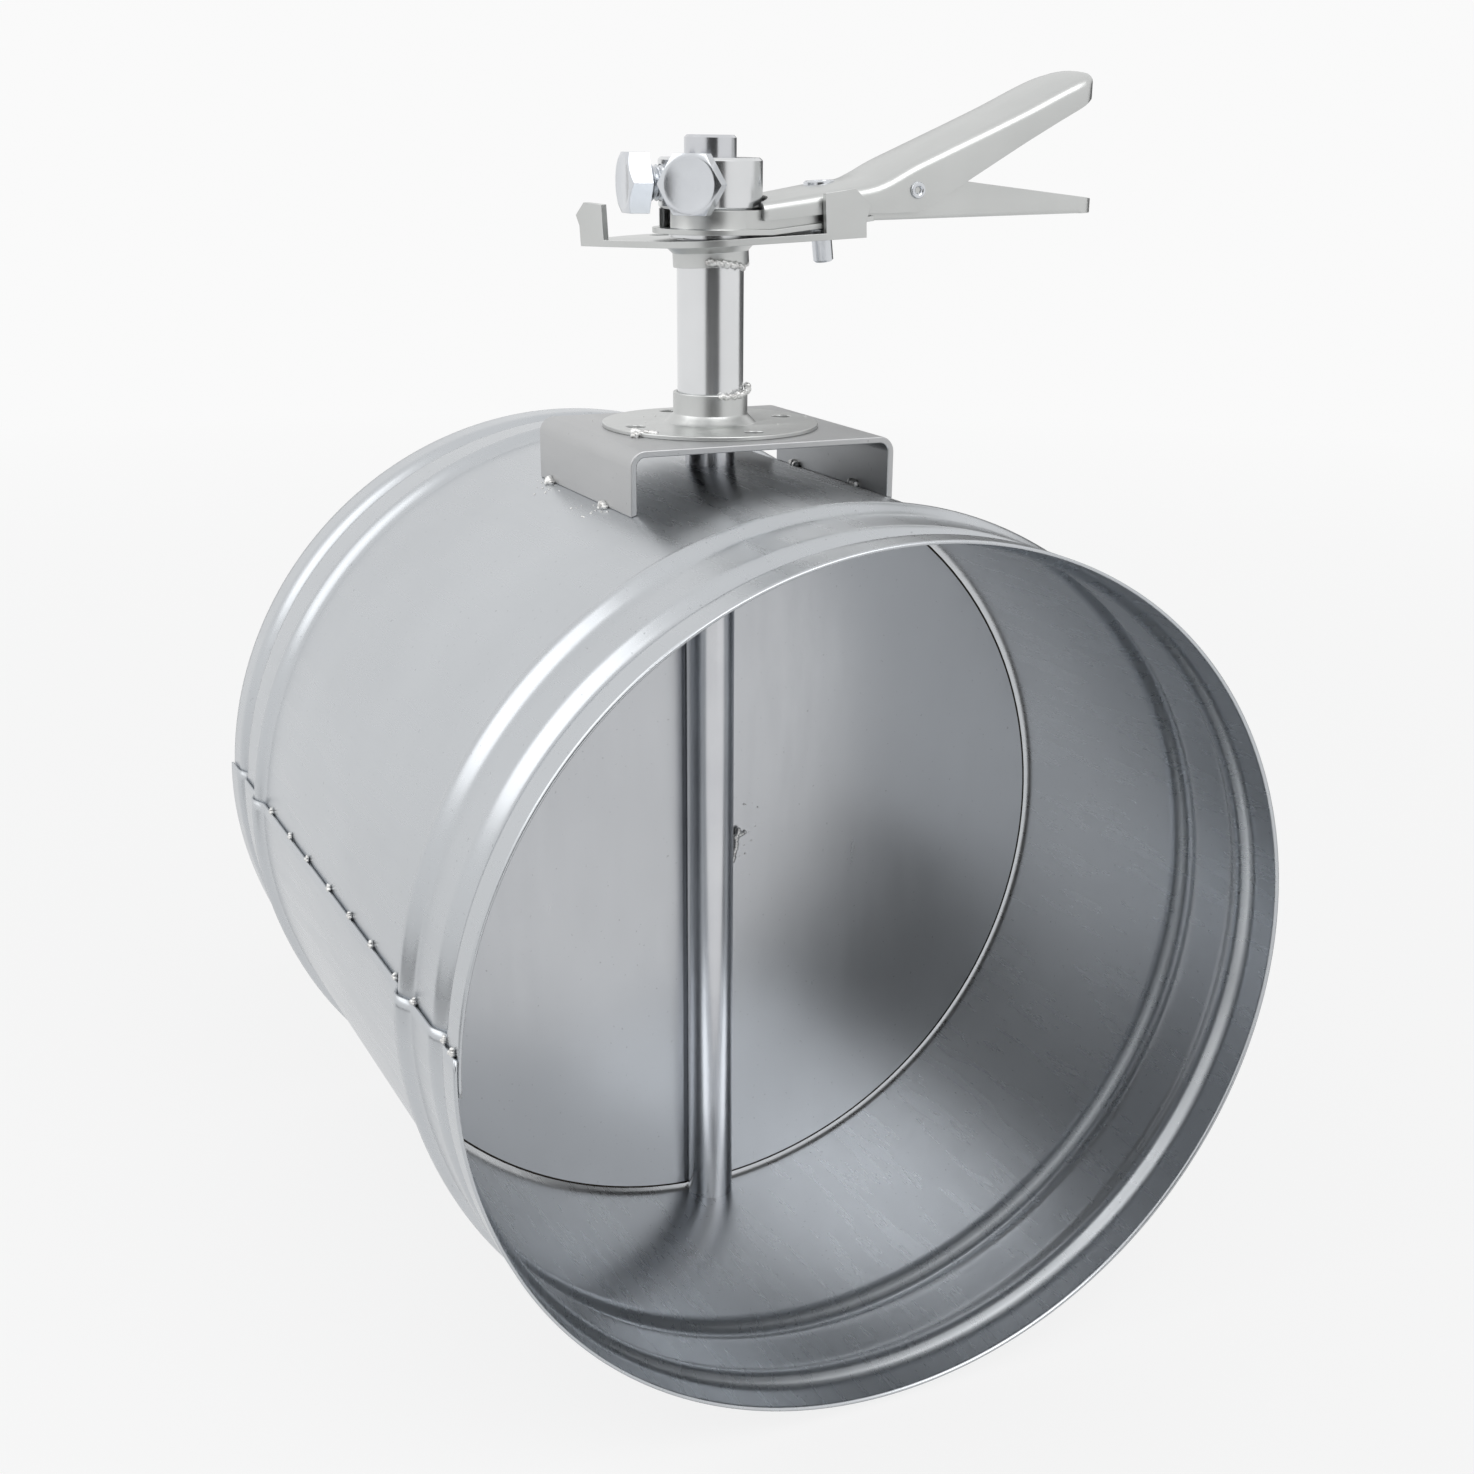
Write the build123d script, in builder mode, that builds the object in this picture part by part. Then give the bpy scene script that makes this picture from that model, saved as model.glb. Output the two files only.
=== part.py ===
"""Round volume control damper: rolled casing, single blade on a shaft,
and a squeeze-lever handle that locks in a slotted quadrant.

Frame: origin on the shaft axis at the centre of the duct, duct axis along Y
(front opening at -Y), shaft along Z, closed handle along +X.  Millimetres.
"""
import os
from math import cos, radians, sin, sqrt, tan

from build123d import *

# ---------------------------------------------------------------- casing
duct_radius = 100.0       # outside of the rolled sheet
duct_length = 207.0
casing_sheet = 0.6
bead_height = 2.0         # stop bead, rolled outwards
bead_width = 11.0
bead_crown = 4.4          # flat top of a bead or groove
bead_inset = 35.0         # rim to the middle of the stop bead
groove_depth = 2.0        # gasket groove, rolled inwards
groove_width = 10.0
groove_inset = 12.5       # rim to the middle of the groove
seam_angle = 175.8        # free edge of the lap, from +X towards +Z
seam_span = 30.0          # angle over which the outer layer beds down
seam_bite = 0.08          # how far the lapped layers sink together

# ---------------------------------------------------------------- shaft and blade
shaft_radius = 6.0
shaft_stand = 73.8        # casing to the top of the shaft
shaft_tail = 1.5          # how far the shaft stands out under the casing
shaft_chamfer = 0.6
shaft_running = 0.1       # radial clearance in the sheet-metal holes
blade_gap = 1.0           # blade edge to the inside of the casing
blade_sheet = 1.2
blade_offset = 3.5        # shaft axis to the front face of the blade
blade_lip = 3.0           # bend radius where the shaft groove leaves the blade
blade_nest = 0.02         # shaft to its groove
blade_weld_radius = 2.7
blade_weld_height = 2.7

# ---------------------------------------------------------------- bracket and stand-off
bracket_width = 66.2
bracket_length = 59.0
bracket_shift = -1.3      # middle of the bracket along the duct
bracket_sheet = 1.5
bracket_bend = 2.2        # inside bend radius
bracket_stand = 8.9       # casing to the bracket's top face
tack_radius = 2.3
tack_reach = 16.3         # tacks in front of and behind the bracket's middle
seat = 0.02               # gap left between parts that are welded together
weld_sides = 8            # facets round a weld
weld_crown = 0.8          # height of a weld over its radius
weld_taper = 30.0
flange_radius = 25.75
flange_sheet = 1.0
flange_collar = 7.0       # height of the drawn collar
flange_flare = 2.0
flange_hole_radius = 2.3
flange_hole_circle = 20.0
flange_hole_angle = 6.0
flange_hole_count = 4
flange_weld_angle = 207.0
flange_weld_radius = 2.6
tube_radius = 7.8
tube_wall = 1.4
collar_wall = 1.0
collar_fit = 0.05         # tube to the drawn collars
collar_weld = 1.3         # radius of the weld beads on the collars
collar_weld_sweep = 75.0
lower_weld_angle = 270.0  # where each bead starts
upper_weld_angle = 255.0

# ---------------------------------------------------------------- quadrant
quadrant_stand = 51.5     # casing to the quadrant's top face
quadrant_sheet = 1.5
quadrant_collar = 4.6
quadrant_flare = 1.5
quadrant_radius = 36.0
quadrant_hub_radius = 13.0
swing = 90.0              # travel of the handle
index_count = 7
tab_start = 22.9          # shaft axis to the near edge of a stop tab
tab_length = 10.4
tab_nose = 1.3            # how far the tab's nose stands out past its foot
tab_height = 11.7
tab_nose_height = 7.8
tab_waist_height = 4.4
tab_crown_length = 7.8
stop_gap = 0.3            # handle to stop tab
open_slack = 10.8         # angle left beyond the last index slot
open_tab_rise = 0.72      # height of the far stop tab over the near one

# ---------------------------------------------------------------- hub and set bolts
hub_radius = 12.0
hub_height = 11.1
hub_chamfer = 0.6
hub_bore_gap = 0.05
spigot_radius = 9.0
stake_radius = 9.6        # staked edge of the spigot, under the handle
stake_height = 0.9
hub_lift = 0.2            # staked edge to the quadrant
bolt_radius = 4.0
bolt_fit = 0.02
bolt_flats = 13.0
bolt_head = 5.3
bolt_chamfer = 1.2
bolt_tip_gap = 0.03
bolt_tip = 1.5            # taper at the tip
front_bolt_angle = 230.5
front_bolt_stand = 1.2    # hub to the underside of the head
side_bolt_angle = 173.0
side_bolt_stand = 3.5

# ---------------------------------------------------------------- handle, fixed to the hub
handle_sheet = 1.2
foot_radius = 13.4        # round end of the foot plate
foot_half = 12.7          # half width of the foot plate
rim_radius = 11.8         # wall that follows the foot plate round the hub
rim_height = 4.1
rim_gap_angle = 15.0      # half angle of the gap in that wall
handle_half = 11.2        # half width of the arm
handle_reach = 100.0      # shaft axis to the tip
foot_flat = 10.0          # where the foot plate starts to climb
foot_end = 36.0           # where it ends and the arm starts
foot_climb = 2.9
arm_climb = 1.5           # from there to the tip
wall_peak_x = 47.4        # highest point of the arm's side walls
wall_peak = 10.2
wall_foot = 5.4           # wall height where the arm starts
wall_tip = 3.2            # wall height at the tip
tip_corner = 6.0

# ---------------------------------------------------------------- squeeze lever
squeeze_sheet = 1.2
squeeze_half = 12.8
squeeze_start = 7.7       # shaft axis to its inner end
squeeze_reach = 97.3
squeeze_hub_gap = 1.2
squeeze_lean = 7.0        # slope of the inner arm
squeeze_web = 8.0         # quadrant to the web, at the inner end
squeeze_skirt = 3.9       # depth of the side walls there
elbow_start = 36.0        # where the web starts to turn up
elbow_end = 46.0
elbow_rise = 4.6
arm_slope = 23.6          # of the outer arm, end to end
arm_sag = 0.9             # of the outer arm's middle under that slope
skirt_tip = 6.3           # depth of the side walls at the tip
knee_x = 54.3             # where the lower edge turns up
knee_height = 9.1         # of that point over the quadrant
knee_start = 48.5
knee_start_height = 6.0
nose_radius = 2.5
relief_x = 38.3           # slit in each side wall, behind the elbow
relief_height = 6.7
relief_length = 4.4
relief_width = 1.0
relief_angle = -40.0

# ---------------------------------------------------------------- pivot, spring and pin
pivot_x = 47.4
pivot_height = 10.8       # over the quadrant
rivet_radius = 1.5
rivet_head_radius = 1.9
rivet_head = 0.7
rivet_running = 0.05
pin_radius = 2.4
pin_wall = 0.9
pin_slot = 1.0
pin_slot_angle = 246.0
pin_pitch = 29.0          # shaft axis to the pin, at the quadrant
pin_below = 4.2           # how far the pin stands out under the quadrant
pin_head_radius = 3.6
pin_head = 0.6
index_side_gap = 0.3      # pin to the sides of its slot
index_inner = 23.0        # ends of each index slot, from the shaft axis
index_outer = 32.2
foot_slot_margin = 0.6
foot_slot_inner = 21.2    # the pin swings in towards the shaft as it lifts
spring_x = 57.5
spring_radius = 3.6
spring_wire = 0.55
wire_sides = 6
spring_chords = 40        # straight runs that the coil is drawn in
spring_height = 9.8       # first coil's centre to the last one's
spring_turns = 4.0
spring_end_gap = 0.15

# ---------------------------------------------------------------- worked out from those
half_length = duct_length / 2
casing_bore = duct_radius - casing_sheet
shaft_top = duct_radius + shaft_stand
bracket_top = duct_radius + bracket_stand
quadrant_top = duct_radius + quadrant_stand
shaft_hole = shaft_radius + shaft_running
blade_radius = casing_bore - blade_gap
flange_top = bracket_top + flange_sheet
collar_bore = tube_radius + collar_fit
collar_radius = collar_bore + collar_wall
quadrant_under = quadrant_top - quadrant_sheet
tube_top = quadrant_top - hub_lift
foot_under = quadrant_top + hub_lift + stake_height
foot_top = foot_under + handle_sheet
hub_under = foot_top + rim_height
hub_top = hub_under + hub_height
bolt_z = hub_under + hub_height / 2
arm_under = foot_under + foot_climb
pivot_z = quadrant_top + pivot_height
squeeze_z = quadrant_top + squeeze_web
index_width = 2 * (pin_radius + index_side_gap)
tall = 2 * shaft_top


def save(part, name):
    """Label a finished piece and write it as its own STEP file."""
    part.label = name
    export_step(part, f"parts/{name}.step")


os.makedirs("parts", exist_ok=True)


# ================================================================ fixed to the duct
def sheet_edge(radius):
    """One face of the rolled sheet, front rim to rear rim: groove, bead, bead, groove."""
    groove_y = half_length - groove_inset
    bead_y = half_length - bead_inset
    rolled = [(-groove_y, groove_width, -groove_depth), (-bead_y, bead_width, bead_height),
              (bead_y, bead_width, bead_height), (groove_y, groove_width, -groove_depth)]
    last = (radius, -half_length)
    for middle, width, height in rolled:
        start = (radius, middle - width / 2)
        end = (radius, middle + width / 2)
        crown = [(radius + height, middle - bead_crown / 2), (radius + height, middle + bead_crown / 2)]
        Polyline(last, start, *crown, end)
        last = end
    Line(last, (radius, half_length))


def sheet_loop(radius, thickness):
    """Closed cross section of the rolled sheet, for the current line."""
    sheet_edge(radius)
    sheet_edge(radius - thickness)
    for y in (-half_length, half_length):
        Line((radius, y), (radius - thickness, y))


with BuildPart() as duct_casing:
    with BuildSketch(Plane.XY):
        with BuildLine():
            sheet_loop(duct_radius, casing_sheet)
        make_face()
    revolve(axis=Axis.Y)
    # Outer layer of the lap: turned about an axis to one side, so that its free edge
    # stands one sheet proud and the layer beds down into the casing further round.
    lap_step = casing_sheet - 2 * seam_bite
    lap_side = (lap_step + seam_bite) / (1 - cos(radians(seam_span)))
    edge_x = cos(radians(seam_angle))
    edge_z = sin(radians(seam_angle))
    lap_origin = (lap_side * edge_x, 0, lap_side * edge_z)
    with BuildSketch(Plane(origin=lap_origin, x_dir=(edge_x, 0, edge_z), z_dir=(-edge_z, 0, edge_x))):
        with BuildLine():
            sheet_loop(duct_radius + lap_step - lap_side, casing_sheet - seam_bite)
        make_face()
    revolve(axis=Axis(lap_origin, (0, -1, 0)), revolution_arc=seam_span)
    Cylinder(shaft_hole, tall, mode=Mode.SUBTRACT)
save(duct_casing.part, "duct_casing")

with BuildPart() as standoff_bracket:
    inner_width = bracket_width - 2 * bracket_sheet
    with BuildSketch(Plane.XZ.offset(-bracket_shift)):
        with Locations((0, bracket_top)):
            Rectangle(bracket_width, bracket_width, align=(Align.CENTER, Align.MAX))
        fillet(vertices().group_by(Axis.Y)[-1], bracket_bend + bracket_sheet)
    extrude(amount=bracket_length / 2, both=True)
    with BuildSketch(Plane.XZ.offset(-bracket_shift)) as hollow:
        with Locations((0, bracket_top - bracket_sheet)):
            Rectangle(inner_width, bracket_width, align=(Align.CENTER, Align.MAX))
        fillet(hollow.vertices().group_by(Axis.Y)[-1], bracket_bend)
    extrude(amount=bracket_length, both=True, mode=Mode.SUBTRACT)
    Cylinder(duct_radius + seat, duct_length, rotation=(90, 0, 0), mode=Mode.SUBTRACT)
    Cylinder(shaft_hole, tall, mode=Mode.SUBTRACT)
save(standoff_bracket.part, "standoff_bracket")

with BuildPart() as bracket_welds:
    outside = bracket_width / 2 + tack_radius / 2
    inside = bracket_width / 2 - bracket_sheet - tack_radius / 2
    for x in (-outside, inside):
        z = sqrt(duct_radius ** 2 - x ** 2) + tack_radius / 4
        with BuildSketch(Plane.XY.offset(z)):
            with Locations(*((x, bracket_shift + y) for y in (-tack_reach, tack_reach))):
                RegularPolygon(tack_radius, weld_sides)
        extrude(amount=tack_radius * weld_crown, both=True, taper=weld_taper)
    add(standoff_bracket.part, mode=Mode.SUBTRACT)
    Cylinder(duct_radius, duct_length, rotation=(90, 0, 0), mode=Mode.SUBTRACT)
save(bracket_welds.part, "bracket_welds")

with BuildPart() as base_flange:
    with BuildSketch(Plane.XY.offset(bracket_top)):
        Circle(flange_radius)
    extrude(amount=flange_sheet)
    with BuildSketch(Plane.XY.offset(flange_top)):
        Circle(collar_radius)
    extrude(amount=flange_collar)
    foot = base_flange.edges().filter_by_position(Axis.Z, flange_top, flange_top).sort_by(SortBy.LENGTH)[0]
    chamfer(foot, flange_flare)
    Cylinder(collar_bore, tall, mode=Mode.SUBTRACT)
    with BuildSketch(Plane.XY.offset(bracket_top)):
        with PolarLocations(flange_hole_circle, flange_hole_count, flange_hole_angle):
            Circle(flange_hole_radius)
    extrude(amount=flange_sheet, mode=Mode.SUBTRACT)
save(base_flange.part, "base_flange")

with BuildPart() as base_flange_weld:
    with BuildSketch(Plane.XY.offset(bracket_top)):
        with PolarLocations(flange_radius, 1, flange_weld_angle):
            RegularPolygon(flange_weld_radius, weld_sides)
    extrude(amount=flange_weld_radius * weld_crown, taper=weld_taper)
    add(base_flange.part, mode=Mode.SUBTRACT)
save(base_flange_weld.part, "base_flange_weld")

with BuildPart() as standoff_tube:
    with BuildSketch(Plane.XY.offset(bracket_top + seat)):
        Circle(tube_radius)
        Circle(tube_radius - tube_wall, mode=Mode.SUBTRACT)
    extrude(amount=tube_top - bracket_top - seat)
save(standoff_tube.part, "standoff_tube")


def stop_tab_outline(rise):
    """Side view of a stop tab: x away from the shaft, y up from the quadrant's top face."""
    foot = tab_start + tab_length
    Polyline((tab_start, -quadrant_sheet), (tab_start, rise * (tab_height - tab_nose / 2)),
             (tab_start + tab_crown_length, rise * tab_height), (foot + tab_nose, rise * tab_nose_height),
             (foot, rise * tab_waist_height), (foot, -quadrant_sheet), close=True)


with BuildPart() as locking_quadrant:
    stop_face = squeeze_half + stop_gap
    stop_back = stop_face + quadrant_sheet
    tab_end = tab_start + tab_length
    open_angle = swing + open_slack
    along = Vector(cos(radians(open_angle)), sin(radians(open_angle)), 0)
    inward = Vector(along.Y, -along.X, 0)
    with BuildSketch(Plane.XY.offset(quadrant_under)):
        with BuildLine():
            CenterArc((0, 0), quadrant_hub_radius, 0, 360)
            Line((tab_start, -stop_back), (tab_end, -stop_back))
            Line(along * tab_start - inward * stop_back, along * tab_end - inward * stop_back)
            CenterArc((0, 0), quadrant_radius, 0, open_angle)
        make_hull()
    extrude(amount=quadrant_sheet)
    closed_side = Plane(origin=(0, -stop_face, quadrant_top), x_dir=(1, 0, 0), z_dir=(0, -1, 0))
    open_side = Plane(origin=Vector(0, 0, quadrant_top) - inward * stop_face, x_dir=along, z_dir=inward)
    with BuildSketch(closed_side):
        with BuildLine():
            stop_tab_outline(1)
        make_face()
    extrude(amount=quadrant_sheet)
    with BuildSketch(open_side):
        with BuildLine():
            stop_tab_outline(open_tab_rise)
        make_face()
    extrude(amount=-quadrant_sheet)
    with BuildSketch(Plane.XY.offset(quadrant_under)):
        Circle(collar_radius)
    extrude(amount=-quadrant_collar)
    rings = locking_quadrant.edges().filter_by(GeomType.CIRCLE)
    root = rings.filter_by_position(Axis.Z, quadrant_under, quadrant_under).sort_by(SortBy.RADIUS)[0]
    chamfer(root, quadrant_flare)
    Cylinder(collar_bore, tall, mode=Mode.SUBTRACT)
    with BuildSketch(Plane.XY.offset(quadrant_under)):
        with PolarLocations((index_inner + index_outer) / 2, index_count, 0, swing, endpoint=True):
            SlotOverall(index_outer - index_inner, index_width)
    extrude(amount=quadrant_sheet, mode=Mode.SUBTRACT)
save(locking_quadrant.part, "locking_quadrant")


with BuildPart() as lower_collar_weld:
    weld_start = Plane.XZ.rotated((0, 0, lower_weld_angle))
    with BuildSketch(weld_start):
        with Locations((tube_radius + collar_wall / 2, flange_top + flange_collar)):
            RegularPolygon(collar_weld, weld_sides)
    revolve(axis=Axis.Z, revolution_arc=collar_weld_sweep)
    add(base_flange.part, mode=Mode.SUBTRACT)
    add(standoff_tube.part, mode=Mode.SUBTRACT)
save(lower_collar_weld.part, "lower_collar_weld")

with BuildPart() as upper_collar_weld:
    with BuildSketch(Plane.XZ.rotated((0, 0, upper_weld_angle))):
        with Locations((tube_radius + collar_wall / 2, quadrant_under - quadrant_collar)):
            RegularPolygon(collar_weld, weld_sides)
    revolve(axis=Axis.Z, revolution_arc=collar_weld_sweep)
    add(locking_quadrant.part, mode=Mode.SUBTRACT)
    add(standoff_tube.part, mode=Mode.SUBTRACT)
save(upper_collar_weld.part, "upper_collar_weld")


# ================================================================ turning with the blade
with BuildPart() as shaft:
    shaft_bottom = -duct_radius - shaft_tail
    with BuildSketch(Plane.XY.offset(shaft_bottom)):
        Circle(shaft_radius)
    extrude(amount=shaft_top - shaft_bottom)
    chamfer(shaft.edges().filter_by(GeomType.CIRCLE), shaft_chamfer)
save(shaft.part, "shaft")

with BuildPart() as blade:
    nest_front = shaft_radius + blade_nest
    nest_back = nest_front + blade_sheet
    blade_back = blade_offset + blade_sheet
    with BuildSketch(Plane.XY) as blade_section:
        with Locations((0, blade_offset)):
            Rectangle(2 * duct_radius, blade_sheet, align=(Align.CENTER, Align.MIN))
        Circle(nest_back)
        with Locations((0, blade_offset)):
            Rectangle(2 * nest_back, 2 * nest_back, align=(Align.CENTER, Align.MAX), mode=Mode.SUBTRACT)
        Circle(nest_front, mode=Mode.SUBTRACT)
        lips = blade_section.vertices().filter_by_position(
            Axis.X, -nest_back, nest_back).filter_by_position(Axis.Y, blade_offset, blade_back)
        fillet(lips.group_by(Axis.Y)[0], blade_lip)
        fillet(blade_section.vertices().filter_by_position(Axis.X, -nest_back, nest_back)
               .group_by(Axis.Y)[-1], blade_lip - blade_sheet)
    extrude(amount=blade_radius, both=True)
    Cylinder(blade_radius, duct_length, rotation=(90, 0, 0), mode=Mode.INTERSECT)
save(blade.part, "blade")

with BuildPart() as blade_weld:
    with BuildSketch(Plane.XZ.offset(-blade_offset)):
        with Locations((shaft_radius + blade_lip / 2, blade_weld_height)):
            RegularPolygon(blade_weld_radius, weld_sides)
    extrude(amount=blade_weld_radius * weld_crown, both=True, taper=weld_taper)
    add(shaft.part, mode=Mode.SUBTRACT)
    add(blade.part, mode=Mode.SUBTRACT)
    behind_blade = Plane.XZ.offset(-blade_back)
    with BuildSketch(behind_blade):
        Circle(blade_radius)
    extrude(amount=-blade_radius, mode=Mode.SUBTRACT)
save(blade_weld.part.solids().sort_by(SortBy.VOLUME)[-1], "blade_weld")

bolts = [("set_bolt_front", front_bolt_angle, front_bolt_stand),
         ("set_bolt_side", side_bolt_angle, side_bolt_stand)]


def bolt_plane(angle, distance=0.0):
    """Plane square to a set bolt, at a distance from the shaft axis."""
    outward = (cos(radians(angle)), sin(radians(angle)), 0)
    return Plane(origin=(0, 0, bolt_z), x_dir=(0, 0, 1), z_dir=outward).offset(distance)


with BuildPart() as hub:
    with BuildSketch(Plane.XY.offset(hub_under)):
        Circle(hub_radius)
    extrude(amount=hub_height)
    chamfer(hub.edges().filter_by(GeomType.CIRCLE), hub_chamfer)
    with BuildSketch(Plane.XY.offset(foot_under)):
        Circle(spigot_radius)
    extrude(amount=hub_under - foot_under)
    with BuildSketch(Plane.XY.offset(foot_under)):
        Circle(stake_radius)
    extrude(amount=-stake_height)
    Cylinder(shaft_radius + hub_bore_gap, tall, mode=Mode.SUBTRACT)
    for name, angle, stand in bolts:
        with BuildSketch(bolt_plane(angle)):
            Circle(bolt_radius + bolt_fit)
        extrude(amount=2 * hub_radius, mode=Mode.SUBTRACT)
save(hub.part, "hub")

for name, angle, stand in bolts:
    with BuildPart() as set_bolt:
        with BuildSketch(bolt_plane(angle, hub_radius + stand)):
            Circle(bolt_flats / 2 / cos(radians(30)))
        extrude(amount=bolt_head)
        crown_edge = set_bolt.edges().filter_by(GeomType.CIRCLE).sort_by_distance((0, 0, bolt_z))[-1]
        chamfer(crown_edge, bolt_chamfer)
        with BuildSketch(bolt_plane(angle, hub_radius + stand)):
            RegularPolygon(bolt_flats / 2, 6, major_radius=False)
        extrude(amount=bolt_head, mode=Mode.INTERSECT)
        with BuildSketch(bolt_plane(angle, shaft_radius + bolt_tip_gap)):
            Circle(bolt_radius)
        extrude(amount=hub_radius + stand - shaft_radius - bolt_tip_gap)
        tip = set_bolt.edges().filter_by(GeomType.CIRCLE).sort_by_distance((0, 0, bolt_z))[0]
        chamfer(tip, bolt_tip)
    save(set_bolt.part, name)

floor_line = [(-foot_radius, foot_under), (foot_flat, foot_under), (foot_end, arm_under),
              (handle_reach, arm_under + arm_climb)]
wall_line = [(-foot_radius, hub_under), (hub_radius, hub_under), (foot_end, arm_under + wall_foot),
             (wall_peak_x, arm_under + wall_peak), (handle_reach, arm_under + arm_climb + wall_tip)]

with BuildPart() as handle_wall:
    with BuildSketch(Plane.XZ):
        with BuildLine():
            Polyline(*floor_line, *reversed(wall_line), close=True)
        make_face()
    extrude(amount=foot_radius, both=True)
    with BuildSketch(Plane.XY):
        Rectangle(handle_reach, 2 * handle_half, align=(Align.MIN, Align.CENTER))
        fillet(vertices().group_by(Axis.X)[-1], tip_corner)
        Circle(rim_radius)
        offset(amount=-handle_sheet, mode=Mode.SUBTRACT)
    extrude(amount=tall, mode=Mode.INTERSECT)
    with Locations((-rim_radius, 0, foot_top)):
        Box(rim_radius, 2 * rim_radius * sin(radians(rim_gap_angle)), tall,
            align=(Align.CENTER, Align.CENTER, Align.MIN), mode=Mode.SUBTRACT)

with BuildPart() as handle_base:
    with BuildSketch(Plane.XZ):
        with BuildLine():
            Polyline(*floor_line, *((x, z + handle_sheet) for x, z in reversed(floor_line)), close=True)
        make_face()
    extrude(amount=foot_radius, both=True)
    with BuildSketch(Plane.XY):
        Rectangle(handle_reach, 2 * handle_half, align=(Align.MIN, Align.CENTER))
        fillet(vertices().group_by(Axis.X)[-1], tip_corner)
        Circle(foot_radius)
        Rectangle(foot_end, 2 * foot_half, align=(Align.MIN, Align.CENTER))
    extrude(amount=tall, mode=Mode.INTERSECT)
    add(handle_wall.part)
    Cylinder(spigot_radius + seat, tall, mode=Mode.SUBTRACT)
    foot_slot_outer = index_outer + foot_slot_margin
    with BuildSketch(Plane.XY.offset(foot_under - handle_sheet)):
        with Locations(((foot_slot_inner + foot_slot_outer) / 2, 0)):
            SlotOverall(foot_slot_outer - foot_slot_inner, index_width + 2 * foot_slot_margin)
    extrude(amount=foot_climb + 3 * handle_sheet, mode=Mode.SUBTRACT)
    with Locations((pivot_x, 0, pivot_z)):
        Cylinder(rivet_radius + seat, 2 * tall, rotation=(90, 0, 0), mode=Mode.SUBTRACT)
save(handle_base.part, "handle_base")

with BuildPart() as pivot_rivet:
    with BuildSketch(Plane.XZ.offset(-squeeze_half - rivet_running)):
        with Locations((pivot_x, pivot_z)):
            Circle(rivet_radius)
    extrude(amount=2 * (squeeze_half + rivet_running))
    for side in (-1, 1):
        with BuildSketch(Plane.XZ.offset(side * (squeeze_half + rivet_running))):
            with Locations((pivot_x, pivot_z)):
                Circle(rivet_head_radius)
        extrude(amount=side * rivet_head)
save(pivot_rivet.part, "pivot_rivet")


# ================================================================ squeezed by hand
def squeeze_top(start, drop):
    """Side view of the squeeze lever's web, from its inner end to its tip."""
    slope = tan(radians(squeeze_lean))
    elbow_z = squeeze_z + (elbow_start - squeeze_start) * slope - drop
    inner = (start, squeeze_z + (start - squeeze_start) * slope - drop)
    elbow = (elbow_start, elbow_z)
    arm = (elbow_end, elbow_z + elbow_rise)
    arm_run = squeeze_reach - elbow_end
    arm_rise = arm_run * tan(radians(arm_slope))
    middle = (elbow_end + arm_run / 2, elbow_z + elbow_rise + arm_rise / 2 - arm_sag)
    tip = (squeeze_reach, elbow_z + elbow_rise + arm_rise)
    Line(inner, elbow)
    TangentArc(elbow, arm, tangent=(1, slope))
    ThreePointArc(arm, middle, tip)
    return inner, tip


with BuildPart() as squeeze_hollow:
    with BuildSketch(Plane.XZ):
        with BuildLine():
            first, last = squeeze_top(0, squeeze_sheet)
            Polyline(last, (squeeze_reach, quadrant_top), (0, quadrant_top), first)
        make_face()
    extrude(amount=squeeze_half, both=True)
    with BuildSketch(Plane.XY):
        Rectangle(squeeze_reach - squeeze_sheet, 2 * (squeeze_half - squeeze_sheet),
                  align=(Align.MIN, Align.CENTER))
        fillet(vertices().group_by(Axis.X)[-1], tip_corner - squeeze_sheet)
    extrude(amount=tall, mode=Mode.INTERSECT)

pin_plane = Plane(origin=(pin_pitch, 0, quadrant_top - quadrant_sheet / 2), x_dir=(0, 1, 0),
                  z_dir=(-sin(radians(squeeze_lean)), 0, cos(radians(squeeze_lean))))
pin_length = (squeeze_z + (pin_pitch - squeeze_start) * tan(radians(squeeze_lean)) - pin_plane.origin.Z) \
    * cos(radians(squeeze_lean))
pin_foot = pin_below + quadrant_sheet / 2

with BuildPart() as squeeze_lever:
    with BuildSketch(Plane.XZ):
        with BuildLine():
            first, last = squeeze_top(squeeze_start, 0)
            Polyline(last, (squeeze_reach, last[1] - skirt_tip), (knee_x, quadrant_top + knee_height),
                     (knee_start, quadrant_top + knee_start_height), (squeeze_start, first[1] - squeeze_skirt),
                     first)
        make_face()
        fillet(vertices().group_by(Axis.X)[-1], nose_radius)
    extrude(amount=squeeze_half, both=True)
    with BuildSketch(Plane.XY):
        Rectangle(squeeze_reach, 2 * squeeze_half, align=(Align.MIN, Align.CENTER))
        fillet(vertices().group_by(Axis.X)[-1], tip_corner)
    extrude(amount=tall, mode=Mode.INTERSECT)
    add(squeeze_hollow.part, mode=Mode.SUBTRACT)
    Cylinder(hub_radius + squeeze_hub_gap, tall, mode=Mode.SUBTRACT)
    with Locations((pivot_x, 0, pivot_z)):
        Cylinder(rivet_radius + rivet_running, 2 * tall, rotation=(90, 0, 0), mode=Mode.SUBTRACT)
    with BuildSketch(Plane.XZ.offset(-squeeze_half)):
        with Locations(Location((relief_x, quadrant_top + relief_height), relief_angle)):
            SlotOverall(relief_length, relief_width)
    extrude(amount=2 * squeeze_half, mode=Mode.SUBTRACT)
    with BuildSketch(pin_plane):
        Circle(pin_radius + seat)
    extrude(amount=2 * pin_length, mode=Mode.SUBTRACT)
save(squeeze_lever.part, "squeeze_lever")

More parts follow.
